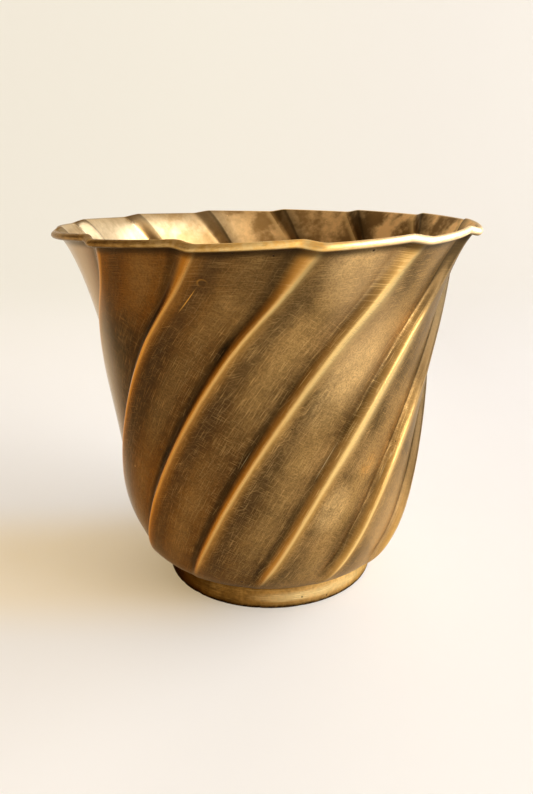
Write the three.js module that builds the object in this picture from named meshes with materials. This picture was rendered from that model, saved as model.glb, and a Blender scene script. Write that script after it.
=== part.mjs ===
// A small brass planter pot on a foot ring.
// Its sheet wall is pressed into flutes that swirl up from the foot to the lip. Each flute is a
// broad panel that sinks slowly away from a crest, then climbs a short steep face to the next one.
// The lip is rolled outwards over a wire, and it dips and stands out where each crest meets it.
// Millimetres, +Z up. The origin is the middle of the face that the foot ring stands on.

import * as THREE from 'three';

// Overall size
const potHeight = 152; // resting face to the highest stretch of the rolled rim
const rimRadius = 85.2; // axis to the outside of the rolled rim, at a crest

// Wall outline along a crest, measured to the outside of the sheet
const floorHeight = 10.9; // resting face to the underside of the bowl
const heelReach = 19; // how far the underside's tangent runs out before the wall turns up
const bellyRadius = 66;
const bellyHeight = 60.2;
const bellyLean = 3.8; // degrees the wall leans outwards at the belly
const lowerTangent = 26.8; // length of the belly's tangent, towards the foot
const upperTangent = 19; // length of the belly's tangent, towards the rim
const flareAngle = 49; // degrees the lip leans outwards just under the roll
const flareTangent = 15.6;

// Sheet, rolled rim and wire
const sheetThickness = 0.7;
const rollDiameter = 2.8;
const rollTurn = 282; // degrees the sheet is rolled round the wire
const wireClearance = 0.3;

// Flutes
const fluteCount = 13;
const fluteDepth = 3; // fall from a crest to the next valley
const lipDepth = 2.2; // the same fall at the lip, which the roll holds out
const fluteStart = 6.8; // bearing of one crest, in degrees, where it would meet the resting face
const panelShare = 0.86; // share of a flute that the broad panel takes
const lipPanelShare = 0.8; // and at the lip, where the steep face is drawn out into an S
const panelBow = 1.15; // 1 is an even fall from the crest, more is fuller near it
const fluteFadeHeight = 13; // height over which the flutes grow out of the smooth heel
const rimDip = 1.1; // how far the rim drops where a crest pulls it outwards
const lipHeight = 26; // depth of wall below the rim that changes shape with the lip

// Bearing that a crest has turned through, in degrees, at shares of the pot's height
const swirlShares = [0, 0.15, 0.45, 0.75, 0.88, 1];
const swirlAngles = [0, 12.6, 34.6, 59.6, 72.6, 82];

// Foot ring, and the solder that holds it
const footRadius = 46.1; // fullest part of the ring
const footCrown = 0.5; // how far the fullest part stands out over the edge of the resting face
const footCrownPull = 0.5; // how far the crown's tangents reach past the fullest part, below
const footCrownHold = 0.2; // and above
const footCrownHeight = 0.7; // share of the ring's height where the crown starts to close in
const footThickness = 2.8;
const floorInset = 3.1; // flat part of the bowl's underside ends this far inside the fullest part
const footEdge = 0.4; // bevel on the ring's inner lower edge
const seatClearance = 0.3; // gap left at each soldered seat
const solderLeg = 2;
const solderHollow = 0.35; // share of the leg that the fillet's face sinks to at its middle

// How finely the curves are faceted
const panelColumns = 5;
const steepColumns = 2;
const heelRows = 8;
const sideRows = 8;
const rollRows = 8;
const footSegments = 72;
const footRows = 6;
const wireSides = 6;

const degrees = THREE.MathUtils.degToRad;
const smooth = THREE.MathUtils.smoothstep;
const blend = THREE.MathUtils.lerp;

// Columns of the sheet. Each stays at its own part of a panel, or of the steep face after it, all
// the way up, while the two share out the flute differently near the lip.
const fluteColumns = [
  ...Array.from({ length: panelColumns }, (_, i) => ({ panel: i / panelColumns, steep: 0 })),
  ...Array.from({ length: steepColumns }, (_, i) => ({ panel: 1, steep: i / steepColumns })),
];
const columns = Array.from({ length: fluteCount }, (_, flute) =>
  fluteColumns.map((column) => ({ flute, ...column })),
).flat();

// How much of the crest's height is left at a column
function crestLeft({ panel, steep }) {
  return panel < 1 ? 1 - panel ** panelBow : smooth(steep, 0, 1);
}

const swirl = new THREE.CubicInterpolant(swirlShares, swirlAngles, 1, new Float64Array(1));

function swirlAt(height) {
  const share = THREE.MathUtils.clamp(height / potHeight, 0, 1);
  return fluteStart + swirl.evaluate(share)[0];
}

// The roll's centre in the section through a crest, before the crest pulls it down
const rollRadius = rollDiameter / 2;
const rollInside = rollRadius - sheetThickness;
const rollCentre = new THREE.Vector2(rimRadius - rollRadius, potHeight - rollRadius);

// Direction of the lip as it enters the roll, and the side of it that the roll lies on
const lipDirection = new THREE.Vector2(Math.sin(degrees(flareAngle)), Math.cos(degrees(flareAngle)));
const lipSide = new THREE.Vector2(lipDirection.y, -lipDirection.x);

const footInside = footRadius - footThickness;
const footRestRadius = footRadius - footCrown;
const floorRadius = footRadius - floorInset;

// Outside of the wall along a crest: heel curve, then side curve, ending on the roll
const bellyPoint = new THREE.Vector2(bellyRadius, bellyHeight);
const bellyDirection = new THREE.Vector2(Math.sin(degrees(bellyLean)), Math.cos(degrees(bellyLean)));
const lipEnd = rollCentre.clone().addScaledVector(lipSide, -rollInside);
const heelCurve = new THREE.CubicBezierCurve(
  new THREE.Vector2(floorRadius, floorHeight),
  new THREE.Vector2(floorRadius + heelReach, floorHeight),
  bellyPoint.clone().addScaledVector(bellyDirection, -lowerTangent),
  bellyPoint,
);
const sideCurve = new THREE.CubicBezierCurve(
  bellyPoint,
  bellyPoint.clone().addScaledVector(bellyDirection, upperTangent),
  lipEnd.clone().addScaledVector(lipDirection, -flareTangent),
  lipEnd,
);

// Stations along the section, each a point on the outside of the sheet and its outward side
function stationsAlong(curve, rows) {
  return Array.from({ length: rows + 1 }, (_, i) => {
    const point = curve.getPoint(i / rows);
    const along = curve.getTangent(i / rows);
    return { point, side: new THREE.Vector2(along.y, -along.x) };
  });
}

function rollStations() {
  const start = lipSide.clone().negate().angle();
  return Array.from({ length: rollRows }, (_, i) => {
    const angle = start - degrees((rollTurn * (i + 1)) / rollRows);
    const outward = new THREE.Vector2(Math.cos(angle), Math.sin(angle));
    return { point: rollCentre.clone().addScaledVector(outward, rollInside), side: outward.clone().negate() };
  });
}

const stations = [
  ...stationsAlong(heelCurve, heelRows),
  ...stationsAlong(sideCurve, sideRows).slice(1),
  ...rollStations(),
];

// Moves a point of the crest's section to where it lies on a column of the fluted sheet
function pressed(point, column) {
  const fade = smooth(point.y, floorHeight, floorHeight + fluteFadeHeight);
  const lip = smooth(point.y, potHeight - lipHeight, lipEnd.y);
  const panelEnd = blend(panelShare, lipPanelShare, lip);
  const share = column.panel * panelEnd + column.steep * (1 - panelEnd);
  const crest = crestLeft(column);
  const radius = point.x - blend(fluteDepth, lipDepth, lip) * fade * (1 - crest);
  const height = point.y - rimDip * lip * crest;
  const bearing = degrees(((column.flute + share) * 360) / fluteCount + swirlAt(point.y));
  return new THREE.Vector3(radius * Math.cos(bearing), radius * Math.sin(bearing), height);
}

// The roll moves whole with the end of the lip, so that it stays round
function rolled(point, column) {
  const lip = pressed(lipEnd, column);
  const shift = new THREE.Vector2(Math.hypot(lip.x, lip.y), lip.z).sub(lipEnd);
  const bearing = Math.atan2(lip.y, lip.x) + degrees(swirlAt(point.y) - swirlAt(lipEnd.y));
  const radius = point.x + shift.x;
  return new THREE.Vector3(radius * Math.cos(bearing), radius * Math.sin(bearing), point.y + shift.y);
}

// Closed mesh from rings of points. The rings run up the outside of the piece, and each ring runs
// anticlockwise seen from above. With poles the first and last ring are closed by a flat fan.
function meshFromRings(rings, { poles = null, material, name }) {
  const around = rings[0].length;
  const vertices = rings.flat();
  const faces = [];
  const wrapped = poles ? rings.length - 1 : rings.length;
  for (let i = 0; i < wrapped; i++) {
    const below = i * around;
    const above = ((i + 1) % rings.length) * around;
    for (let j = 0; j < around; j++) {
      const next = (j + 1) % around;
      faces.push(below + j, below + next, above + next);
      faces.push(below + j, above + next, above + j);
    }
  }
  if (poles) {
    const first = vertices.push(poles[0]) - 1;
    const last = vertices.push(poles[1]) - 1;
    const top = (rings.length - 1) * around;
    for (let j = 0; j < around; j++) {
      const next = (j + 1) % around;
      faces.push(first, next, j);
      faces.push(last, top + j, top + next);
    }
  }
  const geometry = new THREE.BufferGeometry().setFromPoints(vertices);
  geometry.setIndex(faces);
  geometry.computeVertexNormals();
  const mesh = new THREE.Mesh(geometry, material);
  mesh.name = name;
  return mesh;
}

// Bowl: one pressed sheet, from the flat floor up the fluted wall and round the rolled rim
function makeBowl() {
  const place = (point, station) =>
    columns.map((column) => (station >= heelRows + sideRows ? rolled : pressed)(point, column));
  const outside = stations.map(({ point }, i) => place(point, i));
  const inside = stations.map(({ point, side }, i) =>
    place(point.clone().addScaledVector(side, -sheetThickness), i),
  );
  return meshFromRings([...outside, ...inside.reverse()], {
    poles: [new THREE.Vector3(0, 0, floorHeight), new THREE.Vector3(0, 0, floorHeight + sheetThickness)],
    material: new THREE.MeshStandardMaterial({ color: 0x8a6633, roughness: 0.42, metalness: 0.9 }),
    name: 'bowl_shell',
  });
}

// Rim wire: a closed hoop inside the roll, following every crest
function makeRimWire() {
  const wireRadius = rollInside - wireClearance;
  const rings = Array.from({ length: wireSides }, (_, i) => {
    const angle = (i / wireSides) * 2 * Math.PI;
    const outward = new THREE.Vector2(Math.cos(angle), Math.sin(angle));
    const point = rollCentre.clone().addScaledVector(outward, wireRadius);
    return columns.map((column) => rolled(point, column));
  });
  return meshFromRings(rings, {
    material: new THREE.MeshStandardMaterial({ color: 0x9c8a5c, roughness: 0.5, metalness: 0.9 }),
    name: 'rim_wire',
  });
}

// Height of the underside of the bowl over a radius, where the foot ring meets it
function undersideAt(radius) {
  if (radius <= floorRadius) return floorHeight;
  let low = 0;
  let high = 1;
  for (let i = 0; i < 40; i++) {
    const middle = (low + high) / 2;
    if (heelCurve.getPoint(middle).x < radius) low = middle;
    else high = middle;
  }
  return heelCurve.getPoint(low).y;
}

function lathed(profile, material, name) {
  const mesh = new THREE.Mesh(new THREE.LatheGeometry(profile, footSegments), material);
  mesh.rotation.x = Math.PI / 2;
  mesh.name = name;
  return mesh;
}

// Foot ring: a low band with a crowned outer face, its top following the bowl that it carries
function makeFootRing() {
  const outerTop = footRadius - footCrown / 2;
  const top = (radius) => new THREE.Vector2(radius, undersideAt(radius) - seatClearance);
  const crown = new THREE.CubicBezierCurve(
    new THREE.Vector2(footRestRadius, 0),
    new THREE.Vector2(footRadius + footCrownPull, footEdge),
    new THREE.Vector2(footRadius + footCrownHold, floorHeight * footCrownHeight),
    top(outerTop),
  );
  const corner = new THREE.Vector2(footInside + footEdge, 0);
  const profile = [
    corner,
    ...crown.getPoints(footRows),
    top(footInside),
    new THREE.Vector2(footInside, footEdge),
    corner,
  ];
  return lathed(
    profile,
    new THREE.MeshStandardMaterial({ color: 0xa27b3e, roughness: 0.4, metalness: 0.9 }),
    'foot_ring',
  );
}

// Foot solder: the fillet run round the inside corner between the ring and the floor
function makeFootSolder() {
  const outer = footInside - seatClearance;
  const upper = floorHeight - seatClearance;
  const corner = new THREE.Vector2(outer, upper);
  const profile = [
    corner,
    new THREE.Vector2(outer - solderLeg, upper),
    new THREE.Vector2(outer - solderLeg * solderHollow, upper - solderLeg * solderHollow),
    new THREE.Vector2(outer, upper - solderLeg),
    corner,
  ];
  return lathed(
    profile,
    new THREE.MeshStandardMaterial({ color: 0x8f8a78, roughness: 0.55, metalness: 0.8 }),
    'foot_solder',
  );
}

const pot = new THREE.Group();
pot.add(makeBowl(), makeRimWire(), makeFootRing(), makeFootSolder());

export default pot;
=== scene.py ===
import math
from bisect import bisect

import bpy
from mathutils import Matrix, Vector, noise
from mathutils.geometry import interpolate_bezier


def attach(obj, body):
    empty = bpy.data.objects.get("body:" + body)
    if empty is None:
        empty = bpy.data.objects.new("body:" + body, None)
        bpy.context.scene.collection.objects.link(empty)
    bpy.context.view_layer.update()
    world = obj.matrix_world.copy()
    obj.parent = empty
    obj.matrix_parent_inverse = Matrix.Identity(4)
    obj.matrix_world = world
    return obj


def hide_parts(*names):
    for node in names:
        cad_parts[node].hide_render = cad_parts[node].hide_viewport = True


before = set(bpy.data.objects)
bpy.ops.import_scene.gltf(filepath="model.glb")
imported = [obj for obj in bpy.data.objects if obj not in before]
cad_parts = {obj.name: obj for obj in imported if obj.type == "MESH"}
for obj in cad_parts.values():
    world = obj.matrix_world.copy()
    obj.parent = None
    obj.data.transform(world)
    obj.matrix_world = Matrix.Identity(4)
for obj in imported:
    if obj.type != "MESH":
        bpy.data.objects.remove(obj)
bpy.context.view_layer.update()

# Pressed bowl: its section
# One sheet of brass, pressed into swirling flutes and rolled outwards over a wire at the lip. Its
# section through the axis is drawn first, up the outside of the sheet and back down the inside.
mm = 0.001
pot_height = 151.99 * mm
rim_radius = 85.2 * mm
floor_height = 10.9 * mm
floor_radius = 43 * mm
heel_reach = 19 * mm
belly_point = Vector((66 * mm, 60.2 * mm))
belly_lean = math.radians(3.8)
lower_tangent = 26.8 * mm
upper_tangent = 19 * mm
flare_angle = math.radians(49)
flare_tangent = 15.6 * mm
sheet_thickness = 0.7 * mm
roll_radius = 1.4 * mm
roll_turn = math.radians(282)
flute_fade_height = 13 * mm
lip_height = 26 * mm
flute_start = 6.8
swirl_shares = [0, 0.15, 0.45, 0.75, 0.88, 1]
swirl_angles = [0, 12.6, 34.6, 59.6, 72.6, 82]
floor_rows, heel_rows, side_rows, roll_rows = 4, 30, 46, 20


def smooth(value, low, high):
    """0 below low, 1 above high and an even S between them."""
    share = min(max((value - low) / (high - low), 0), 1)
    return share * share * (3 - 2 * share)


def swirl_at(height):
    """How far round the flutes have turned at a height: each joint's slope is its neighbours' mean."""
    share = min(max(height / pot_height, 0), 1)
    chords = [
        (swirl_angles[i + 1] - swirl_angles[i]) / (swirl_shares[i + 1] - swirl_shares[i])
        for i in range(len(swirl_shares) - 1)
    ]
    slopes = [chords[0]] + [(a + b) / 2 for a, b in zip(chords, chords[1:])] + [chords[-1]]
    i = min(bisect(swirl_shares, share) - 1, len(chords) - 1)
    width = swirl_shares[i + 1] - swirl_shares[i]
    t = (share - swirl_shares[i]) / width
    start = (2 * t**3 - 3 * t**2 + 1) * swirl_angles[i] + (t**3 - 2 * t**2 + t) * width * slopes[i]
    end = (3 * t**2 - 2 * t**3) * swirl_angles[i + 1] + (t**3 - t**2) * width * slopes[i + 1]
    return math.radians(flute_start + start + end)


roll_inside = roll_radius - sheet_thickness
roll_centre = Vector((rim_radius - roll_radius, pot_height - roll_radius))
lip_direction = Vector((math.sin(flare_angle), math.cos(flare_angle)))
lip_side = Vector((lip_direction.y, -lip_direction.x))
lip_end = roll_centre - lip_side * roll_inside
belly_direction = Vector((math.sin(belly_lean), math.cos(belly_lean)))
floor_edge = Vector((floor_radius, floor_height))


def sheet_section():
    """Stations up the outside of the sheet, each a point and the side of it that faces out."""
    heel = [
        floor_edge,
        floor_edge + Vector((heel_reach, 0)),
        belly_point - belly_direction * lower_tangent,
        belly_point,
    ]
    side = [
        belly_point,
        belly_point + belly_direction * upper_tangent,
        lip_end - lip_direction * flare_tangent,
        lip_end,
    ]
    points = [Vector((floor_radius * i / floor_rows, floor_height)) for i in range(floor_rows)]
    for curve, rows in ((heel, heel_rows), (side, side_rows)):
        points += [p.to_2d() for p in interpolate_bezier(*curve, rows + 1)][:-1]
    points.append(lip_end)
    stations = []
    for i, point in enumerate(points):
        along = points[min(i + 1, len(points) - 1)] - points[max(i - 1, 0)]
        along = lip_direction if i == len(points) - 1 else along.normalized()
        stations.append((point, Vector((along.y, -along.x))))
    start = math.atan2(-lip_side.y, -lip_side.x)
    for i in range(1, roll_rows + 1):
        angle = start - roll_turn * i / roll_rows
        outward = Vector((math.cos(angle), math.sin(angle)))
        stations.append((roll_centre + outward * roll_inside, -outward))
    return stations


stations = sheet_section()
wall_rows = len(stations) - roll_rows
outside = [(point, i) for i, (point, side) in enumerate(stations)]
inside = [(point - side * sheet_thickness, i) for i, (point, side) in enumerate(stations)]
section = outside + inside[::-1]

section_mesh = bpy.data.meshes.new("sheet_section")
section_places = [(p.x, 0, p.y) for p, _ in section]
section_mesh.from_pydata(section_places, [(i, i + 1) for i in range(len(section) - 1)], [])
along_sheet = [0.0]
for (a, _), (b, _) in zip(section, section[1:]):
    along_sheet.append(along_sheet[-1] + (b - a).length)
lip_reach = along_sheet[wall_rows - 1]
roll_end_reach = along_sheet[len(outside)]
section_facts = {
    "turned": [swirl_at(p.y) for p, _ in section],
    "sunk": [smooth(p.y, floor_height, floor_height + flute_fade_height) for p, _ in section],
    "near_lip": [
        1.0 if i >= wall_rows else smooth(p.y, pot_height - lip_height, lip_end.y) for p, i in section
    ],
    "along_sheet": along_sheet,
    "inner_skin": [0.0] * len(outside) + [1.0] * len(inside),
    "on_roll": [smooth(i, wall_rows - 1, wall_rows + 1) for _, i in section],
}
for name, values in section_facts.items():
    section_mesh.attributes.new(name, "FLOAT", "POINT").data.foreach_set("value", values)
bowl_section = bpy.data.objects.new("bowl_section", section_mesh)
bpy.context.scene.collection.objects.link(bowl_section)

# Pressed bowl: its flutes
# The section is carried round the pot in columns that stand closer at the crests and steep faces.
# Each column sinks it by the flute's profile, and each height turns it as far as the swirl has come.
flute_count = 13
flute_depth = 3 * mm
lip_depth = 2.2 * mm
panel_share = 0.86
lip_panel_share = 0.8
panel_bow = 1.15
rim_drop = 1.1 * mm
flute_columns = 26
unevenness = 0.3 * mm


class Formula:
    """A value in a node tree that is written in sums and products, as a number is."""

    def __init__(self, tree, socket):
        self.tree = tree
        self.socket = socket

    def math(self, operation, *others):
        return put(self.tree, "ShaderNodeMath", self, *others, operation=operation)

    def __add__(self, other):
        return self.math("ADD", other)

    def __sub__(self, other):
        return self.math("SUBTRACT", other)

    def __rsub__(self, other):
        return put(self.tree, "ShaderNodeMath", other, self, operation="SUBTRACT")

    def __mul__(self, other):
        return self.math("MULTIPLY", other)

    def __truediv__(self, other):
        return self.math("DIVIDE", other)

    def __rtruediv__(self, other):
        return put(self.tree, "ShaderNodeMath", other, self, operation="DIVIDE")

    def __pow__(self, other):
        return self.math("POWER", other)

    __radd__ = __add__
    __rmul__ = __mul__

    def ramp(self, low, high, start=0.0, end=1.0):
        """start where this value is low, end where it is high, and an even S between them."""
        settings = {"interpolation_type": "SMOOTHSTEP"}
        return put(self.tree, "ShaderNodeMapRange", self, low, high, start, end, **settings)

    def hump(self, low, top, fall, high):
        """1 between top and fall, 0 outside low and high."""
        return self.ramp(low, top) * self.ramp(fall, high, 1.0, 0.0)


def fill(tree, slot, value):
    if isinstance(value, Formula):
        tree.links.new(value.socket, slot)
    elif value is not None:
        slot.default_value = value


def put(tree, kind, *values, output=0, **settings):
    """Adds a node, sets its properties, fills its inputs in order and gives one output back."""
    node = tree.nodes.new(kind)
    for name, value in settings.items():
        setattr(node, name, value)
    for slot, value in zip([s for s in node.inputs if s.enabled], values):
        fill(tree, slot, value)
    return Formula(tree, [s for s in node.outputs if s.enabled][output])


def parts_of(tree, vector):
    """The three numbers in a vector, or the three channels in a colour."""
    kind = "ShaderNodeSeparateXYZ" if vector.socket.type == "VECTOR" else "ShaderNodeSeparateColor"
    node = tree.nodes.new(kind)
    fill(tree, node.inputs[0], vector)
    return [Formula(tree, part) for part in node.outputs]


def new_tree(name, kind, inputs, outputs):
    """A node group with named sockets, and its inputs by name as formulas."""
    tree = bpy.data.node_groups.new(name, kind)
    for in_out, sockets in (("INPUT", inputs), ("OUTPUT", outputs)):
        for label, socket_kind in sockets.items():
            tree.interface.new_socket(label, in_out=in_out, socket_type="NodeSocket" + socket_kind)
    entry = tree.nodes.new("NodeGroupInput")
    return tree, {label: Formula(tree, entry.outputs[label]) for label in inputs}


def close_tree(tree, **results):
    """Links the group's outputs, which have spaces where the names here have underscores."""
    leaving = tree.nodes.new("NodeGroupOutput")
    for name, formula in results.items():
        tree.links.new(formula.socket, leaving.inputs[name.replace("_", " ")])


def flute_tree():
    """Geometry nodes that carry a section round the pot and press the flutes into it."""
    tree, given = new_tree(
        "Flutes round a section",
        "GeometryNodeTree",
        {
            "Section": "Geometry",
            "Flutes": "Int",
            "Columns": "Int",
            "Depth": "Float",
            "Lip Depth": "Float",
            "Panel Share": "Float",
            "Lip Panel Share": "Float",
            "Panel Bow": "Float",
            "Rim Drop": "Float",
            "Unevenness": "Float",
            "Sheet": "Material",
        },
        {"Shell": "Geometry"},
    )
    tree.is_modifier = True
    section = given["Section"]
    rows = put(tree, "GeometryNodeAttributeDomainSize", section, component="MESH")
    mesh = put(tree, "GeometryNodeMeshGrid", 1.0, 1.0, given["Flutes"] * given["Columns"] + 1, rows)
    index = put(tree, "GeometryNodeInputIndex")
    column = (index / rows).math("FLOOR")
    row = index - column * rows

    def of_section(field, data_type="FLOAT"):
        return put(tree, "GeometryNodeSampleIndex", section, field, row, data_type=data_type, domain="POINT")

    def named(label, data_type="FLOAT"):
        return put(tree, "GeometryNodeInputNamedAttribute", label, data_type=data_type)

    def store(mesh, label, value, data_type="FLOAT", domain="POINT"):
        settings = {"data_type": data_type, "domain": domain}
        return put(tree, "GeometryNodeStoreNamedAttribute", mesh, True, label, value, **settings)

    station = of_section(put(tree, "GeometryNodeInputPosition"), "FLOAT_VECTOR")
    radius, _, height = parts_of(tree, station)

    counted = column / given["Columns"]
    flute = counted.math("FLOOR")
    spread = tree.nodes.new("ShaderNodeFloatCurve")
    curve = spread.mapping.curves[0]
    for columns, reached in ((5, 0.07), (15, 0.83)):
        curve.points.new(columns / flute_columns, reached)
    for point in curve.points:
        point.handle_type = "VECTOR"
    spread.mapping.update()
    fill(tree, spread.inputs["Value"], counted - flute)
    share = Formula(tree, spread.outputs[0])

    near_lip = of_section(named("near_lip"))
    panel = (share / given["Panel Share"]).math("MINIMUM", 1.0)
    steep = ((share - given["Panel Share"]) / (1 - given["Panel Share"])).math("MAXIMUM", 0.0)
    crest = 1 - panel ** given["Panel Bow"] + steep.ramp(0.0, 1.0)
    depth = given["Depth"] + (given["Lip Depth"] - given["Depth"]) * near_lip
    panel_end = given["Panel Share"] + (given["Lip Panel Share"] - given["Panel Share"]) * near_lip
    turn = flute + panel * panel_end + steep * (1 - panel_end)
    bearing = turn * math.tau / given["Flutes"] + of_section(named("turned"))
    east, north = bearing.math("COSINE"), bearing.math("SINE")
    smooth_place = put(tree, "ShaderNodeCombineXYZ", radius * east, radius * north, height)
    worked = put(tree, "ShaderNodeTexNoise", smooth_place, 45.0, 1.0, 0.5)
    pressed = radius - (depth * (1 - crest) + given["Unevenness"] * worked) * of_section(named("sunk"))
    lowered = height - given["Rim Drop"] * near_lip * crest

    for label in ("inner_skin", "on_roll"):
        mesh = store(mesh, label, of_section(named(label)))
    unrolled = put(tree, "ShaderNodeCombineXYZ", flute + share, of_section(named("along_sheet")), 0.0)
    mesh = store(mesh, "unrolled", unrolled, "FLOAT_VECTOR")
    mesh = store(mesh, "UVMap", named("unrolled", "FLOAT_VECTOR"), "FLOAT2", "CORNER")
    position = put(tree, "ShaderNodeCombineXYZ", pressed * east, pressed * north, lowered)
    mesh = put(tree, "GeometryNodeSetPosition", mesh, True, position)
    mesh = put(tree, "GeometryNodeMergeByDistance", mesh, True, 0.001 * mm)
    mesh = put(tree, "GeometryNodeSetShadeSmooth", mesh, True, True)
    mesh = put(tree, "GeometryNodeRealizeInstances", mesh)
    mesh = put(tree, "GeometryNodeSetMaterial", mesh, True, given["Sheet"])
    close_tree(tree, Shell=mesh)
    return tree


def grown_mesh(carrier, name, tree, **inputs):
    """What a node tree makes of an object, as a plain mesh under its own name."""
    modifier = carrier.modifiers.new(tree.name, "NODES")
    modifier.node_group = tree
    identifiers = {s.name: s.identifier for s in tree.interface.items_tree if s.in_out == "INPUT"}
    for label, value in inputs.items():
        modifier[identifiers[label.replace("_", " ")]] = value
    depsgraph = bpy.context.evaluated_depsgraph_get()
    shape = carrier.evaluated_get(depsgraph)
    mesh = bpy.data.meshes.new_from_object(shape, preserve_all_data_layers=True, depsgraph=depsgraph)
    mesh.name = name
    carrier.modifiers.remove(modifier)
    bpy.data.objects.remove(carrier)
    piece = bpy.data.objects.new(name, mesh)
    bpy.context.scene.collection.objects.link(piece)
    return piece


# Pressed bowl: its finish
# Antiqued brass: a dark brown patina, brushed and waxed, rubbed through to gold on the crests and
# the roll, darkest in the valleys, thin and golden inside, and painted with light and shade as well.
flute_pitch = math.tau * belly_point.x / flute_count
swirl_slant = math.atan(0.6)
up_flute = math.pi / 2 - swirl_slant
across_flute = up_flute - math.pi / 2


def linear(colour):
    """A screen colour such as 0x8a6633 as the linear colour that a socket takes."""
    parts = [((colour >> shift) & 255) / 255 for shift in (16, 8, 0)]
    return tuple(c / 12.92 if c < 0.04045 else ((c + 0.055) / 1.055) ** 2.4 for c in parts) + (1,)


def new_material(name):
    material = bpy.data.materials.new(name)
    material.use_nodes = True
    return material, material.node_tree, material.node_tree.nodes["Principled BSDF"]


def use(tree, group, **values):
    """Places a node group in a tree and gives its outputs by name."""
    node = tree.nodes.new("ShaderNodeGroup")
    node.node_tree = group
    for name, value in values.items():
        fill(tree, node.inputs[name.replace("_", " ")], value)
    return {s.name: Formula(tree, s) for s in node.outputs}


def blended(tree, factor, base, over):
    """A mix of two colours: each is a screen colour, or a formula or a linear colour as it is."""
    colours = [linear(c) if isinstance(c, int) else c for c in (base, over)]
    return put(tree, "ShaderNodeMix", factor, *colours, data_type="RGBA")


def painted(tree, colour, *coats):
    """Lays coats over a colour in turn, each a mask and the colour that it lets through."""
    for mask, coat in coats:
        colour = blended(tree, mask, colour, coat)
    return colour


def finish_surface(tree, surface, colour, roughness, relief, strength=0.5, height=0.1 * mm):
    """Joins a finish to its shader: the colour, the roughness and the relief, as bump."""
    fill(tree, surface.inputs["Base Color"], colour)
    fill(tree, surface.inputs["Roughness"], roughness)
    fill(tree, surface.inputs["Normal"], put(tree, "ShaderNodeBump", strength, height, None, relief))


def turned_back(tree, place, angle):
    return put(tree, "ShaderNodeVectorRotate", place, None, -1 * angle, rotation_type="Z_AXIS")


def brushing_group():
    """Fine parallel scratches that lie one way on the sheet, as long thin streaks of noise."""
    tree, given = new_tree(
        "Brushing",
        "ShaderNodeTree",
        {"Place": "Vector", "Direction": "Float", "Width": "Float", "Length": "Float", "Cover": "Float"},
        {"Lines": "Float"},
    )
    turned = turned_back(tree, given["Place"], given["Direction"])
    finer = put(tree, "ShaderNodeCombineXYZ", 1 / given["Length"], 1 / given["Width"], 0.0)
    streaks = put(tree, "ShaderNodeVectorMath", turned, finer, operation="MULTIPLY")
    grain = put(tree, "ShaderNodeTexNoise", streaks, 1.0, 1.5, 0.6, noise_dimensions="2D")
    threshold = 0.75 - 0.35 * given["Cover"]
    close_tree(tree, Lines=grain.ramp(threshold, threshold + 0.14))
    return tree


def scattered_cells(tree, place, size, dimensions):
    """Parts a place into cells, and gives the cells' node and three chances that each cell has."""
    cells = tree.nodes.new("ShaderNodeTexVoronoi")
    cells.voronoi_dimensions = dimensions
    fill(tree, cells.inputs["Vector"], place)
    fill(tree, cells.inputs["Scale"], 1 / size)
    return cells, parts_of(tree, Formula(tree, cells.outputs["Color"]))


def scratch_group():
    """Stray scratches, one straight stroke in some of the cells that the sheet is parted into."""
    tree, given = new_tree(
        "Stray scratches",
        "ShaderNodeTree",
        {
            "Place": "Vector",
            "Cell": "Float",
            "Width": "Float",
            "Length": "Float",
            "Direction": "Float",
            "Spread": "Float",
            "Share": "Float",
        },
        {"Scratches": "Float"},
    )
    cells, (first, second, third) = scattered_cells(tree, given["Place"], given["Cell"], "2D")
    middle = Formula(tree, cells.outputs["Position"])
    own = put(tree, "ShaderNodeVectorMath", given["Place"], middle, operation="SUBTRACT")
    direction = given["Direction"] + given["Spread"] * (first - 0.5)
    along, across, _ = parts_of(tree, turned_back(tree, own, direction))
    reach = along.math("ABSOLUTE") / (given["Length"] * (0.4 + third))
    aside = across.math("ABSOLUTE") / given["Width"]
    stroke = aside.ramp(0.3, 1.0, 1.0, 0.0) * reach.ramp(0.25, 0.5, 1.0, 0.0)
    close_tree(tree, Scratches=stroke * second.math("LESS_THAN", given["Share"]))
    return tree


def pit_group():
    """Round pits and specks, in some of the cells that space is parted into."""
    tree, given = new_tree(
        "Pits",
        "ShaderNodeTree",
        {"Place": "Vector", "Spacing": "Float", "Size": "Float", "Share": "Float"},
        {"Pits": "Float", "Rims": "Float"},
    )
    cells, (first, second, _) = scattered_cells(tree, given["Place"], given["Spacing"], "3D")
    there = first.math("LESS_THAN", given["Share"])
    away = Formula(tree, cells.outputs["Distance"]) * given["Spacing"] / (given["Size"] * (0.5 + second))
    close_tree(tree, Pits=away.ramp(0.5, 1.0, 1.0, 0.0) * there, Rims=away.hump(0.8, 1.1, 1.1, 1.6) * there)
    return tree


def cloud_group():
    """Uneven patina: slow clouds, and a finer mottle inside them."""
    tree, given = new_tree(
        "Patina clouds",
        "ShaderNodeTree",
        {"Place": "Vector", "Size": "Float"},
        {"Clouds": "Float", "Mottle": "Float"},
    )
    scale = 1 / given["Size"]
    clouds = put(tree, "ShaderNodeTexNoise", given["Place"], scale, 3.0, 0.55, None, 0.6)
    mottle = put(tree, "ShaderNodeTexNoise", given["Place"], scale * 9.0, 4.0, 0.65)
    close_tree(tree, Clouds=clouds.ramp(0.3, 0.7), Mottle=mottle.ramp(0.3, 0.7))
    return tree


brushing = brushing_group()
stray_scratches = scratch_group()
pits = pit_group()
patina_clouds = cloud_group()


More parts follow.
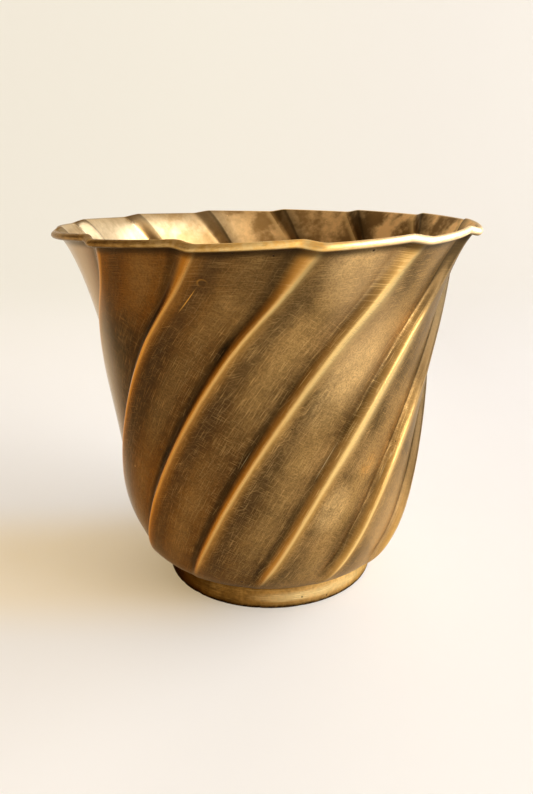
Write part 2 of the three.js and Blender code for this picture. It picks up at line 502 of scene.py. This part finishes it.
class SheetPlace:
    """Where a point lies on the bowl's sheet, with the masks and marks that its coats share."""

    def __init__(self, tree):
        self.tree = tree
        coordinates = tree.nodes.new("ShaderNodeTexCoord")
        self.solid = Formula(tree, coordinates.outputs["Object"])
        self.x, _, self.z = parts_of(tree, self.solid)
        flute, self.along, _ = parts_of(tree, Formula(tree, coordinates.outputs["UV"]))
        around = flute * flute_pitch + self.along * math.tan(swirl_slant)
        self.sheet = put(tree, "ShaderNodeCombineXYZ", around, self.along, 0.0)
        self.inner = put(tree, "ShaderNodeAttribute", attribute_name="inner_skin", output=2)
        self.roll = put(tree, "ShaderNodeAttribute", attribute_name="on_roll", output=2)
        self.outer = (1 - self.inner) * (1 - self.roll)

        # How far round a flute it lies: past is 0 at the crest and below 0 on the steep face
        sway = put(tree, "ShaderNodeTexNoise", self.solid, 130.0, 2.0, 0.5) - 0.5
        self.share = (flute + 0.014 * sway).math("FRACT")
        self.past = self.share - self.share.math("GREATER_THAN", 0.5)

        self.left = (0 - self.x).ramp(-0.01, 0.06)
        self.right = self.x.ramp(-0.02, 0.04)
        self.rising = self.z.ramp(floor_height + 3 * mm, floor_height + 16 * mm)
        self.high = self.z.ramp(0.082, 0.116)
        self.near_rim = self.z.ramp(0.117, 0.138)
        # Painted shade low on the heel, where it curves under to the foot; it is rougher and less metallic
        # there
        self.heel_shade = self.z.ramp(floor_height + 0.5 * mm, floor_height + 5 * mm, 1.0, 0.0) * self.outer
        clouds = use(tree, patina_clouds, Place=self.solid, Size=28 * mm)
        self.cloud, self.mottle = clouds["Clouds"], clouds["Mottle"]
        self.drift = put(tree, "ShaderNodeTexNoise", self.solid, 38.0, 2.0, 0.5).ramp(0.42, 0.58)
        self.up_lines = self.brushed(up_flute, 0.22, 9, 0.45)
        self.hatch = self.hatching()

    def brushed(self, direction, width, length, cover):
        values = {"Direction": direction, "Width": width * mm, "Length": length * mm, "Cover": cover}
        return use(self.tree, brushing, Place=self.sheet, **values)["Lines"]

    def scratched(self, direction, cell, width, length, spread, share):
        sizes = {"Cell": cell * mm, "Width": width * mm, "Length": length * mm}
        chances = {"Direction": direction, "Spread": spread, "Share": share}
        return use(self.tree, stray_scratches, Place=self.sheet, **sizes, **chances)["Scratches"]

    def pitted(self, spacing, size, share):
        return use(self.tree, pits, Place=self.solid, Spacing=spacing * mm, Size=size * mm, Share=share)

    def hatching(self):
        """Brushing up and across the flutes, slanting on the panels and level under the rim."""
        cross_lines = self.brushed(across_flute, 0.22, 7, 0.4)
        slant_lines = self.brushed(0.3, 0.22, 8, 0.4)
        level_lines = self.brushed(0.03, 0.2, 9, 0.5)
        hatch = self.up_lines * (0.6 + 0.3 * self.drift) + cross_lines * (0.7 - 0.3 * self.drift)
        hatch = hatch + slant_lines * (0.25 + 0.5 * self.past.hump(0.0, 0.05, 0.14, 0.3))
        level = level_lines * self.near_rim * (0.45 + 0.4 * self.x.ramp(0.0, 0.04))
        return hatch * (1 - 0.8 * self.near_rim) + level

    def oval(self, flute, reach, length, width, direction=up_flute):
        """Distance from a spot at a flute number and a reach up the sheet, 1 on the oval round it."""
        middle = Vector((flute * flute_pitch + reach * mm * math.tan(swirl_slant), reach * mm, 0))
        own = put(self.tree, "ShaderNodeVectorMath", self.sheet, middle, operation="SUBTRACT")
        fitted = (1 / (length * mm), 1 / (width * mm), 0)
        turned = turned_back(self.tree, own, direction)
        sized = put(self.tree, "ShaderNodeVectorMath", turned, fitted, operation="MULTIPLY")
        return put(self.tree, "ShaderNodeVectorMath", sized, operation="LENGTH")

    def spots(self, *ovals):
        """Ovals as one mask, soft from a third of the way out."""
        mask = 0.0
        for values in ovals:
            mask = self.oval(*values).ramp(0.3, 1.0, 1.0, 0.0).math("MAXIMUM", mask)
        return mask


def patina(at):
    """The outside before its crests are rubbed: cloudy brown, brushed, thin where worn, with painted light.
    """
    tree, x, z, left, right, high = at.tree, at.x, at.z, at.left, at.right, at.high
    mottle, drift, hatch, rising = at.mottle, at.drift, at.hatch, at.rising
    # Painted light: both tones of the patina are lighter on the right, towards the window
    thick = blended(tree, right, 0x5E4526, 0x725830)
    thin = blended(tree, right, 0x8A693A, 0xB8925A)
    shade = at.past.hump(0.1, 0.19, 0.24, 0.42) * rising
    rubbed = at.share.hump(0.3, 0.52, 0.6, 0.76) * (0.25 + 0.75 * right) * (0.5 + 0.5 * drift) * rising
    # Pale places, worn thin, with a painted highlight from the window over them
    worn_and_highlit_places = at.spots((7.55, 185, 18, 12), (8.42, 147, 28, 11), (9.33, 94, 15, 8))
    worn_and_highlit = worn_and_highlit_places * (0.25 + 0.25 * drift + 0.5 * hatch) * (0.55 + 0.45 * mottle)
    orange_place = at.spots((9.55, 109, 8, 5))
    dull_places = at.spots((5.55, 156, 20, 9), (8.15, 181, 14, 6))
    grain = put(tree, "ShaderNodeTexNoise", at.solid, 1500.0, 2.0, 0.6).ramp(0.4, 0.62)
    hatch_tint = blended(tree, left, 0xE2B874, 0xC08440)
    # Painted highlight: pale areas high and low on the right, where the window light falls
    upper_right_highlight = high * x.hump(0.014, 0.03, 0.036, 0.052)
    lower_right_highlight = x.ramp(0.03, 0.05) * z.ramp(0.03, 0.065, 1.0, 0.0)
    return painted(
        tree,
        blended(tree, at.cloud, thick, thin),
        # Painted shade: darker and more orange on the left, away from the window, and darker still low there
        (left, 0x76440A),
        (left * z.hump(0.055, 0.09, 0.112, 0.132) * 0.8, 0x2C1F12),
        (mottle * 0.28, 0x463419),
        (shade * (0.45 - 0.25 * right), 0x3A2F20),
        (rubbed * 0.6, 0xC09A5C),
        (worn_and_highlit, 0xFFD690),
        (orange_place * (0.05 + 0.35 * mottle + 0.7 * at.up_lines), 0xE8A64C),
        (dull_places * (0.25 + 0.4 * mottle) * (1 - 0.5 * right), 0x1C150C),
        (grain * 0.36, 0x2E2212),
        (hatch * (0.55 - 0.2 * left + 0.25 * x.ramp(0.03, 0.05)), hatch_tint),
        (upper_right_highlight * 0.2 + lower_right_highlight * 0.3, 0xF4CF98),
    )


def rubbed_and_highlit_crests(at, colour):
    """Rubs the crests to gold, with painted highlight and shade. Gives colour and change of roughness."""
    tree, x, left, right, high = at.tree, at.x, at.left, at.right, at.high
    past, hatch, rising = at.past, at.hatch, at.rising
    facing = 1 - 0.85 * x.ramp(0.047, 0.061)
    under_lip = at.along.ramp(lip_reach - 24 * mm, lip_reach - 6 * mm)
    # Painted highlight on the rounded shoulder just past each crest, where it catches the light
    shoulder_highlight = past.ramp(0.0, 0.17, 1.0, 0.0) * past.math("GREATER_THAN", -0.01) * rising
    shoulder_highlight = shoulder_highlight * shoulder_highlight * (1 - high * right * 0.8) * (1 - 0.7 * at.near_rim)
    # Painted dark reflection on the panel just past each crest, high on the right
    under_crest = past.hump(0.0, 0.03, 0.05, 0.15) * high * right
    # Patina lies darkest in the valleys, deepened by painted shade that is weaker on the lit right
    valley = at.share.hump(0.78, 0.85, 0.865, 0.94) * rising * (1 - 0.9 * x.ramp(0.05, 0.062))
    # Painted reflection: the steep face before each crest glows orange, as if it mirrored its neighbour
    glow = past.ramp(-0.12 + 0.04 * left, -0.025) * past.ramp(-0.01, 0.02, 1.0, 0.0) * rising
    # Dark streaks along three of the folds
    dark_fold_streaks = at.spots((5.925, 165, 11, 2.4), (6.88, 157, 9, 1.6), (6.87, 112, 12, 1.6))

    # The rubbed line and its painted highlight feather with the brushing, broaden to the light and lip
    broad = at.z.ramp(0.045, 0.085) * x.ramp(-0.01, 0.03) * (1 - 0.4 * under_lip)
    feathered = past + (0.025 + 0.07 * broad) * (hatch - 0.35)
    wings = feathered.ramp(-0.07 - 0.07 * broad, -0.012) * feathered.ramp(0.0, 0.06 + 0.09 * broad, 1.0, 0.0)
    winged_highlight = wings * rising * facing * right * (0.5 + 0.5 * hatch.ramp(0.1, 0.6)) * (1 - 0.4 * under_lip)
    rise = feathered.ramp(-0.04 - 0.04 * broad, -0.004)
    fall = feathered.ramp(0.002, 0.036 + 0.03 * broad, 1.0, 0.0)
    core = rise * fall * rising * (1 - 0.5 * under_lip) * facing
    # Painted highlight: the rubbed core is brighter on the right, towards the light, and at the far left
    sheen = 0.52 + (0.38 - 0.16 * high) * x.ramp(0.0, 0.035) + 0.25 * x.ramp(-0.046, -0.034, 1.0, 0.0)
    colour = painted(
        tree,
        colour,
        (shoulder_highlight * (0.6 + 0.4 * hatch), blended(tree, left, 0xD8A658, 0xB87428)),
        (under_crest * 0.6, 0x4A371C),
        (valley * (0.72 - 0.2 * high - 0.4 * right), 0x2A1D0D),
        (glow * facing * (0.9 - 0.35 * left * at.near_rim), blended(tree, right, 0xC07A22, 0xCC9C50)),
        (dark_fold_streaks * (0.4 + 0.5 * at.mottle), 0x18120A),
        (winged_highlight * 0.9, blended(tree, broad, 0xE4BA74, 0xFFE09C)),
        (core * sheen, blended(tree, left, 0xFFDC90, 0xE09430)),
    )
    return colour, 0.05 * valley - 0.1 * core - 0.1 * glow * left


def marked(at, colour):
    """Strokes of use, the score, dent and pit that stand out, and painted glints. Gives colour and relief.
    """
    outer = at.outer
    strokes = at.scratched(up_flute, 4.2, 0.12, 10, 0.3, 0.5) * 0.6
    crossings = at.scratched(across_flute, 4.2, 0.11, 10, 0.35, 0.5) * 0.45
    long_strokes = at.scratched(up_flute - 0.1, 9, 0.14, 22, 0.25, 0.7) * (0.3 + 0.6 * at.right)
    marks = strokes.math("MAXIMUM", crossings).math("MAXIMUM", long_strokes) * (1 - 0.6 * at.near_rim)
    # Pale scores, and a painted glint where one of them catches the light
    scores_and_glints = at.spots(
        (8.876, 114, 11, 0.16),
        (7.885, 116, 7, 0.12),
        (9.915, 104.5, 8, 0.16),
        (9.93, 110.4, 1.2, 0.45),
    )
    # Painted reflection: a pale pinkish line on the steep face left of a crest
    edge_reflection = at.spots((5.975, 141, 13, 0.8))
    copper_score = at.spots((6.178, 175.3, 6.8, 0.2, up_flute - 0.05))
    dent = at.oval(6.21, 182.3, 1.9, 1.9).ramp(0.3, 1.1, 1.0, 0.0)
    dent_edge = at.oval(6.225, 181.9, 1.8, 1.8).hump(0.6, 0.85, 0.9, 1.15)
    deep_pit = at.oval(7.55, 192.5, 1.1, 1.1)
    colour = painted(
        at.tree,
        colour,
        (marks * (0.5 - 0.33 * at.left), 0xDCB274),
        (scores_and_glints * (0.1 + 0.5 * at.mottle) * outer, 0xF0D8A4),
        (edge_reflection * 0.6 * outer, 0xE8C4A0),
        (copper_score * 0.9 * outer, 0xD89A40),
        (dent * 0.4 * outer, 0x2A1A0C),
        (dent_edge * dent * 0.8 * outer, 0xA87430),
        # Painted highlight: a pale ring round the deep pit
        (deep_pit.hump(0.5, 0.7, 0.75, 1.0) * 0.7 * outer, 0xE8C890),
        (deep_pit.ramp(0.2, 0.5, 1.0, 0.0) * outer, 0x140E06),
    )
    return colour, marks * 0.25 - dent * 2.0 * outer


def shaded_edges(at, colour):
    """Painted shade at the right side, at the heel and under the roll, and a painted reflection at the left.
    """
    x = at.x
    # Painted shade: the panels darken at the far right, and most the steep faces turned from the light
    far_right = x.ramp(0.044, 0.064) * (1 - 0.4 * at.near_rim)
    turned_away = at.past.hump(-0.16, -0.13, -0.03, -0.004) * x.ramp(0.05, 0.06)
    # Painted shadow on the wall under the roll
    shadow_under_roll = at.along.ramp(lip_reach - 6.5 * mm, lip_reach - 3.5 * mm) * at.outer
    return painted(
        at.tree,
        colour,
        (far_right * (0.3 + 0.2 * at.high), 0x54422A),
        (turned_away * 0.85, 0x3C2E1A),
        (at.heel_shade * 0.85, 0x2A1C0E),
        # Painted reflection: pale at the far left edge, where the cream backdrop is mirrored
        ((0 - x).ramp(0.056, 0.068) * 0.6, 0xDCC4A4),
        (shadow_under_roll * 0.8, 0x24180C),
    )


def lining(at):
    """The inside: thinner patina, cloudy, with a dark line where each flute folds, and painted light."""
    tree, x, share, rising = at.tree, at.x, at.share, at.rising
    smudges = put(tree, "ShaderNodeTexNoise", at.solid, 70.0, 4.0, 0.6).ramp(0.42, 0.62)
    # Painted light: the left wall, lit by the window, and the right wall, in shade
    lit_side = blended(tree, smudges, 0xD6BA8C, 0xBE9C68)
    shaded_side = blended(tree, smudges, 0xE4BC80, 0xA07C4A)
    shaded_part = x.ramp(-0.05, -0.01) * rising
    fold = share.hump(0.84, 0.865, 0.87, 0.9) * rising
    steep_face = share.hump(0.85, 0.89, 0.97, 1.0) * rising
    return painted(
        tree,
        lit_side,
        # Painted highlight at the far left of the inside, where the window is reflected
        (x.ramp(-0.08, -0.05, 1.0, 0.0) * 0.6, 0xF6E4C0),
        (x.ramp(-0.045, -0.005), shaded_side),
        (at.mottle * 0.3, 0x8A672F),
        (x.ramp(0.025, 0.06) * 0.85 * (1 - smudges), 0xFFD698),
        (x.ramp(0.0, 0.04) * 0.35 * smudges, 0x5A4224),
        ((1 - rising) * 0.45, 0x7A6038),
        (fold * 0.6, 0x3A2A15),
        # Painted shade on the steep faces, and on the shaded side a dark band by each crest and a painted
        # highlight line
        (steep_face * (1 - shaded_part) * 0.8, 0x6E5634),
        (share.hump(0.6, 0.88, 0.95, 1.0) * shaded_part * 0.7, 0x33250F),
        (share.hump(0.0, 0.015, 0.03, 0.1) * shaded_part * 0.5, 0xF0CC8C),
    )


def rolled_lip(at):
    """The roll, rubbed by hands: a painted highlight on the right, browner painted shade on the left and
    below. Gives colour and nicks.
    """
    x, left, mottle = at.x, at.left, at.mottle
    nicks = at.pitted(3.2, 0.4, 0.35)["Pits"]
    below = [roll_end_reach + roll_radius * (roll_turn - math.radians(turn)) for turn in (200, 150)]
    colour = painted(
        at.tree,
        blended(at.tree, mottle, 0xFFE09C, 0xFFCA6C),
        # Painted highlight: paler towards the right, where the window catches it
        (x.ramp(0.01, 0.05) * 0.7, 0xFFE8C0),
        # Painted shade: browner and darker on the left
        (left * 0.9, 0x94682C),
        (left * mottle * 0.6, 0x4A3014),
        (at.brushed(0.15, 0.3, 3.5, 0.5) * (0.2 + 0.4 * left), 0x3A2612),
        (nicks * 0.7, 0x5A3A18),
        # Painted shade under the roll
        (at.along.ramp(*below, 1.0, 0.0) * 0.85, 0x2E1F0E),
        (x.ramp(0.07, 0.083) * 0.5, 0x9A7848),
    )
    return colour, nicks


def sheet_brass():
    material, tree, surface = new_material("antiqued_brass_sheet")
    at = SheetPlace(tree)
    colour, crest_gloss = rubbed_and_highlit_crests(at, patina(at))
    colour, marks = marked(at, colour)
    lip, nicks = rolled_lip(at)
    small_pits = at.pitted(6, 0.32, 0.3)
    pale_specks = at.pitted(11, 0.3, 0.25)
    colour = painted(
        tree,
        shaded_edges(at, colour),
        (at.inner, lining(at)),
        (at.roll, lip),
        (small_pits["Pits"] * 0.8, 0x1A120A),
        (pale_specks["Pits"], 0xE2BE80),
    )
    left_edge = (0 - at.x).ramp(0.045, 0.07)
    gloss = 0.4 - 0.12 * at.left - 0.14 * left_edge + 0.1 * at.hatch + crest_gloss
    gloss = gloss - 0.07 * at.roll + 0.18 * at.inner + 0.25 * at.heel_shade
    relief = at.hatch * 0.2 + at.mottle * 0.25 * (1 - at.roll) + marks
    relief = relief - small_pits["Pits"] * 2.0 + small_pits["Rims"] * 0.5 - nicks * 1.5 * at.roll
    finish_surface(tree, surface, colour, gloss, relief)
    fill(tree, surface.inputs["Metallic"], 1 - 0.75 * at.heel_shade)
    fill(tree, surface.inputs["Coat Weight"], 0.06 * at.right)
    surface.inputs["Specular Tint"].default_value = linear(0xF4E8D6)
    surface.inputs["Coat Roughness"].default_value = 0.25
    return material


pressed_bowl = grown_mesh(
    bowl_section,
    "pressed_bowl",
    flute_tree(),
    Flutes=flute_count,
    Columns=flute_columns,
    Depth=flute_depth,
    Lip_Depth=lip_depth,
    Panel_Share=panel_share,
    Lip_Panel_Share=lip_panel_share,
    Panel_Bow=panel_bow,
    Rim_Drop=rim_drop,
    Unevenness=unevenness,
    Sheet=sheet_brass(),
)
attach(pressed_bowl, "root")
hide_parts("bowl_shell")

# Foot ring
# A band of brass, turned with a crowned outer face and soldered under the bowl. Its top follows the
# bowl's heel, its lower edge is nicked from being set down, and both edges carry painted shade.
foot_radius = 46.1 * mm
foot_crown = 0.5 * mm
foot_crown_pull = 0.5 * mm
foot_crown_hold = 0.2 * mm
foot_crown_share = 0.7
foot_thickness = 2.8 * mm
foot_edge = 0.4 * mm
seat_clearance = 0.3 * mm
foot_inside = foot_radius - foot_thickness
foot_segments = 288
foot_crown_rows = 18
foot_wave = 0.12 * mm
nick_depth = 0.22 * mm


def underside_at(radius):
    """Height of the bowl's underside over a radius."""
    heel = [point for point, _ in stations if point.x <= belly_point.x and point.y <= belly_point.y]
    i = max(bisect([p.x for p in heel], radius), 1)
    a, b = heel[i - 1], heel[min(i, len(heel) - 1)]
    return a.y if b.x == a.x else a.y + (b.y - a.y) * (radius - a.x) / (b.x - a.x)


def turned_ring(name, profile, worn):
    """A closed ring from a section, with its UVs in turns and in metres along the section."""
    reach = [0.0]
    for a, b in zip(profile, profile[1:] + profile[:1]):
        reach.append(reach[-1] + (b - a).length)
    vertices = []
    for i in range(foot_segments):
        bearing = math.tau * i / foot_segments
        for point in profile:
            radius, height = worn(point, bearing)
            vertices.append((radius * math.cos(bearing), radius * math.sin(bearing), height))
    rows = len(profile)
    faces, places = [], []
    for i in range(foot_segments):
        for j in range(rows):
            corners = [(i, j), (i + 1, j), (i + 1, j + 1), (i, j + 1)]
            faces.append([(a % foot_segments) * rows + b % rows for a, b in corners])
            places += [(a / foot_segments, reach[b]) for a, b in corners]
    mesh = bpy.data.meshes.new(name)
    mesh.from_pydata(vertices, [], faces)
    mesh.uv_layers.new(name="UVMap").uv.foreach_set("vector", [c for place in places for c in place])
    mesh.shade_smooth()
    mesh.set_sharp_from_angle(angle=math.radians(50))
    piece = bpy.data.objects.new(name, mesh)
    bpy.context.scene.collection.objects.link(piece)
    return piece


def foot_profile():
    """The ring's section: up its crowned face, in under the bowl and down its inner face."""
    crown_top = foot_radius - foot_crown / 2
    crown = [
        Vector((foot_radius - foot_crown, 0)),
        Vector((foot_radius + foot_crown_pull, foot_edge)),
        Vector((foot_radius + foot_crown_hold, floor_height * foot_crown_share)),
        Vector((crown_top, underside_at(crown_top) - seat_clearance)),
    ]
    face = [p.to_2d() for p in interpolate_bezier(*crown, foot_crown_rows + 1)]
    top = [Vector((radius, floor_height - seat_clearance)) for radius in (floor_radius, foot_inside)]
    bevel = [Vector((foot_inside, foot_edge)), Vector((foot_inside + foot_edge, 0))]
    return face + top + bevel


def foot_wear(point, bearing):
    """Draws the outer face in a little, most where the lower edge has been knocked."""
    place = Vector((math.cos(bearing), math.sin(bearing), 0))
    wave = noise.noise(place * 2.5) * 0.5 + 0.5
    nick = smooth(noise.noise(place * 14 + Vector((0, 0, 3))), 0.3, 0.6)
    low_edge = smooth(point.y, 3.2 * mm, 0.6 * mm) if point.x > foot_inside + foot_edge * 2 else 0
    outer = smooth(point.x, foot_inside + foot_edge, foot_radius - foot_crown)
    return point.x - outer * (foot_wave * wave + nick_depth * nick * low_edge), point.y


def ring_brass():
    material, tree, surface = new_material("antiqued_brass_ring")
    coordinates = tree.nodes.new("ShaderNodeTexCoord")
    solid = Formula(tree, coordinates.outputs["Object"])
    turn, up, _ = parts_of(tree, Formula(tree, coordinates.outputs["UV"]))
    x, _, z = parts_of(tree, solid)
    band = put(tree, "ShaderNodeCombineXYZ", turn * math.tau * foot_radius, up, 0.0)
    clouds = use(tree, patina_clouds, Place=solid, Size=16 * mm)
    mottle = clouds["Mottle"]
    stains = use(tree, patina_clouds, Place=band, Size=9 * mm)["Clouds"]
    turning = {"Direction": 0.0, "Width": 0.4 * mm, "Length": 9 * mm, "Cover": 0.55}
    lines = use(tree, brushing, Place=band, **turning)["Lines"]
    dots = use(tree, pits, Place=solid, Spacing=5.5 * mm, Size=0.45 * mm, Share=0.35)["Pits"]
    specks = use(tree, pits, Place=solid, Spacing=14 * mm, Size=0.45 * mm, Share=0.35)["Pits"]
    left = (0 - x).ramp(-0.01, 0.045)
    # Painted highlight: a band along the crown on the right, where the window catches it
    highlight_band = z.hump(2.5 * mm, 4.5 * mm, 5.5 * mm, 8 * mm) * x.hump(-0.012, 0.012, 0.038, 0.046)
    # Painted shade: dark at the top under the bowl, and on the lower face and edge where it meets the floor
    shade_under_bowl = z.ramp(floor_height - 3.2 * mm, floor_height - 0.6 * mm)
    shaded_turn_under = z.ramp(0.5 * mm, 4 * mm, 1.0, 0.0)
    contact_shade = z.ramp(0.6 * mm, 1.9 * mm, 1.0, 0.0) * (0.6 + 0.4 * mottle.ramp(0.25, 0.6))
    colour = painted(
        tree,
        blended(tree, clouds["Clouds"], 0xDCA452, 0xB0803A),
        # Painted light: lighter on the right, towards the window, and dark on the shaded left
        (x.ramp(-0.01, 0.04), 0xFFD286),
        (left * 0.95, 0x3E2A12),
        (mottle * (0.4 + 0.3 * left), 0x5E421C),
        (stains * (0.2 + 0.5 * left), 0x3C280F),
        (lines * 0.35 * (1 - 0.7 * left), 0xE0B568),
        (highlight_band * (0.5 + 0.5 * lines), 0xFFE6A6),
        (shade_under_bowl * 0.7, 0x3A2A14),
        (shaded_turn_under * 0.6, 0x4A3114),
        (contact_shade * 0.95, 0x120B05),
        (dots * 0.8, 0x24190C),
        (specks, 0xE8B587),
    )
    gloss = 0.42 + 0.12 * mottle + 0.12 * contact_shade - 0.14 * highlight_band
    relief = lines * 0.2 - dots * 2.0 + specks * 1.5 + mottle * 0.3
    finish_surface(tree, surface, colour, gloss, relief)
    surface.inputs["Metallic"].default_value = 1
    surface.inputs["Specular Tint"].default_value = linear(0x8C6C3C)
    return material


foot_ring = turned_ring("turned_foot_ring", foot_profile(), foot_wear)
foot_ring.data.materials.append(ring_brass())
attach(foot_ring, "root")
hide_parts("foot_ring")

# Foot solder
# The fillet of brazing metal in the corner between the ring and the floor of the bowl. It was run
# round by hand, so it is wavy and lumpy, and grey where the flux has burned on.
solder_leg = 2 * mm
solder_hollow = 0.35
solder_lump = 0.35 * mm
solder_corner = Vector((foot_inside - seat_clearance, floor_height - seat_clearance))


def solder_profile():
    """The fillet's section: its corner, and the hollow face between its two legs."""
    top = solder_corner - Vector((solder_leg, 0))
    foot = solder_corner - Vector((0, solder_leg))
    middle = solder_corner - Vector((solder_leg, solder_leg)) * solder_hollow
    face = interpolate_bezier(foot, foot.lerp(middle, 0.8), top.lerp(middle, 0.8), top, 9)
    return [solder_corner] + [p.to_2d() for p in face]


def solder_lumps(point, bearing):
    """Lets the fillet's face swell and thin along its run, while its two seats stay put."""
    place = Vector((math.cos(bearing), math.sin(bearing), 0))
    lump = noise.noise(place * 9 + Vector((0, 0, point.y / mm * 0.4))) * solder_lump
    aside, under = solder_corner - point
    free = smooth(aside, 0, solder_leg / 4) * smooth(under, 0, solder_leg / 4)
    return point.x - lump * free, point.y - lump * free


def brazing_metal():
    material, tree, surface = new_material("brazing_metal")
    solid = Formula(tree, tree.nodes.new("ShaderNodeTexCoord").outputs["Object"])
    clouds = use(tree, patina_clouds, Place=solid, Size=7 * mm)
    mottle = clouds["Mottle"]
    dots = use(tree, pits, Place=solid, Spacing=2.6 * mm, Size=0.4 * mm, Share=0.5)["Pits"]
    bare = blended(tree, clouds["Clouds"], 0x9A8C66, 0x6E6450)
    colour = painted(tree, bare, (mottle * 0.5, 0x463D2C), (dots, 0x241E14))
    finish_surface(tree, surface, colour, 0.5 + 0.2 * mottle, mottle - dots, 0.6, 0.2 * mm)
    surface.inputs["Metallic"].default_value = 0.85
    return material


foot_solder = turned_ring("brazed_fillet", solder_profile(), solder_lumps)
foot_solder.data.materials.append(brazing_metal())
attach(foot_solder, "root")
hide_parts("foot_solder")

# Rim wire
# The hoop of drawn brass wire that the lip is rolled over. Only a line of it shows, in the slit
# under the roll, so its own solid stays and gets the dull finish that such wire has.
def drawn_wire():
    material, tree, surface = new_material("drawn_brass_wire")
    solid = Formula(tree, tree.nodes.new("ShaderNodeTexCoord").outputs["Object"])
    clouds = use(tree, patina_clouds, Place=solid, Size=12 * mm)
    mottle = clouds["Mottle"]
    colour = painted(tree, blended(tree, clouds["Clouds"], 0x8F7440, 0x5E4A28), (mottle * 0.4, 0x3B2E18))
    finish_surface(tree, surface, colour, 0.42 + 0.2 * mottle, mottle, 0.4)
    surface.inputs["Metallic"].default_value = 1
    return material


for slot in bpy.data.objects["rim_wire"].material_slots:
    slot.material = drawn_wire()

# Floor and backdrop
# One sheet of cream paper, flat under the pot and swept up behind it. Part of what the camera and
# the metal see of it is its own light, so that it stays pale, and the floor keeps the pot's shadow.
sweep_half_width = 2.0
sweep_front = -1.6
sweep_back = 0.75
sweep_bend = 0.6
sweep_top = 2.0
sweep_steps = 24


def sweep_mesh():
    line = [(sweep_front, 0)]
    for i in range(sweep_steps + 1):
        angle = math.pi / 2 * i / sweep_steps
        line.append((sweep_back + sweep_bend * math.sin(angle), sweep_bend * (1 - math.cos(angle))))
    line.append((sweep_back + sweep_bend, sweep_top))
    vertices = [(x, y, z) for y, z in line for x in (-sweep_half_width, sweep_half_width)]
    faces = [(2 * i, 2 * i + 1, 2 * i + 3, 2 * i + 2) for i in range(len(line) - 1)]
    mesh = bpy.data.meshes.new("studio_sweep")
    mesh.from_pydata(vertices, [], faces)
    mesh.shade_smooth()
    return mesh


def cream_paper():
    material, tree, surface = new_material("cream_paper")
    surface.inputs["Base Color"].default_value = linear(0xF4F2EE)
    surface.inputs["Roughness"].default_value = 0.9
    surface.inputs["Specular IOR Level"].default_value = 0.1
    place = Formula(tree, tree.nodes.new("ShaderNodeTexCoord").outputs["Object"])
    east, north, _ = parts_of(tree, place)
    risen = north.ramp(0.1, 0.9)
    # Painted light: the glow is warmest where the pot's shadow falls to its left, a painted bounce from the
    # brass
    in_shadow = east.ramp(-0.04, 0.0, 1.0, 0.0) * north.hump(-0.07, -0.03, 0.005, 0.06)
    floor_glow = painted(
        tree,
        blended(tree, east.ramp(-0.07, 0.0), (1.07, 0.97, 0.83, 1), (0.94, 0.86, 0.74, 1)),
        (east.ramp(0.04, 0.2), (0.7, 0.6, 0.5, 1)),
        (in_shadow, (1.12, 0.84, 0.45, 1)),
    )
    wall_glow = blended(tree, east.ramp(-0.2, 0.5), (0.9, 0.83, 0.69, 1), (0.87, 0.79, 0.68, 1))
    glow = tree.nodes.new("ShaderNodeEmission")
    fill(tree, glow.inputs["Color"], blended(tree, risen, floor_glow, wall_glow))
    own_share = put(tree, "ShaderNodeVectorMath", place, operation="LENGTH").ramp(0.05, 0.11, 0.31, 0.37)
    rays = tree.nodes.new("ShaderNodeLightPath")
    by_camera, by_gloss = (Formula(tree, rays.outputs[f"Is {kind} Ray"]) for kind in ("Camera", "Glossy"))
    seen = by_camera.math("MAXIMUM", by_gloss)
    mixed = tree.nodes.new("ShaderNodeMixShader")
    fill(tree, mixed.inputs[0], seen * (own_share + 0.45 * risen))
    tree.links.new(surface.outputs[0], mixed.inputs[1])
    tree.links.new(glow.outputs[0], mixed.inputs[2])
    tree.links.new(mixed.outputs[0], tree.nodes["Material Output"].inputs["Surface"])
    return material


studio_sweep = bpy.data.objects.new("studio_sweep", sweep_mesh())
studio_sweep.data.materials.append(cream_paper())
bpy.context.scene.collection.objects.link(studio_sweep)

# Light
# A wide window to the right, a card that bounces it back from the front right, and the warm air of
# the room, which is dimmer on the left.
pot_middle = Vector((0, 0, 0.07))


def room_air():
    world = bpy.data.worlds.new("room_air")
    world.use_nodes = True
    tree = world.node_tree
    air = tree.nodes["Background"]
    air.inputs["Color"].default_value = (1.0, 0.81, 0.6, 1)
    direction = Formula(tree, tree.nodes.new("ShaderNodeTexCoord").outputs["Generated"])
    eastward, _, _ = parts_of(tree, direction)
    fill(tree, air.inputs["Strength"], eastward.ramp(-0.8, 0.8, 0.4, 0.6))
    return world


def softbox(name, place, width, height, power, colour):
    lamp = bpy.data.lights.new(name, "AREA")
    lamp.shape = "RECTANGLE"
    lamp.size = width
    lamp.size_y = height
    lamp.energy = power
    lamp.color = linear(colour)[:3]
    holder = bpy.data.objects.new(name, lamp)
    holder.location = place
    holder.rotation_euler = (pot_middle - Vector(place)).to_track_quat("-Z", "Y").to_euler()
    bpy.context.scene.collection.objects.link(holder)


bpy.context.scene.world = room_air()
softbox("window_light", (1.6, 0.04, 0.79), 2.1, 1.1, 49, 0xDEEBFF)
softbox("bounce_card", (1.26, -0.75, 0.46), 0.8, 0.8, 15, 0xFFF2DE)

# Camera
# It stands 0.3 m in front of the pot's axis and a little above the rim, looks down by 17.7 degrees
# and is rolled by 0.6 degrees, which fits the ellipses of rim and foot and the pot's upright sides.
camera_place = Vector((-0.00096, -0.3018, 0.1728))
degrees_down = 17.69
camera_roll = -0.0105
camera = bpy.data.objects.new("camera", bpy.data.cameras.new("camera"))
camera.data.lens = 32.73
camera.data.sensor_width = 36
camera.data.clip_start = 0.01
tilt = Matrix.Rotation(math.radians(90 - degrees_down), 4, "X") @ Matrix.Rotation(camera_roll, 4, "Z")
camera.matrix_world = Matrix.Translation(camera_place) @ tilt
bpy.context.scene.collection.objects.link(camera)
bpy.context.scene.camera = camera
bpy.context.scene.view_settings.view_transform = "Standard"
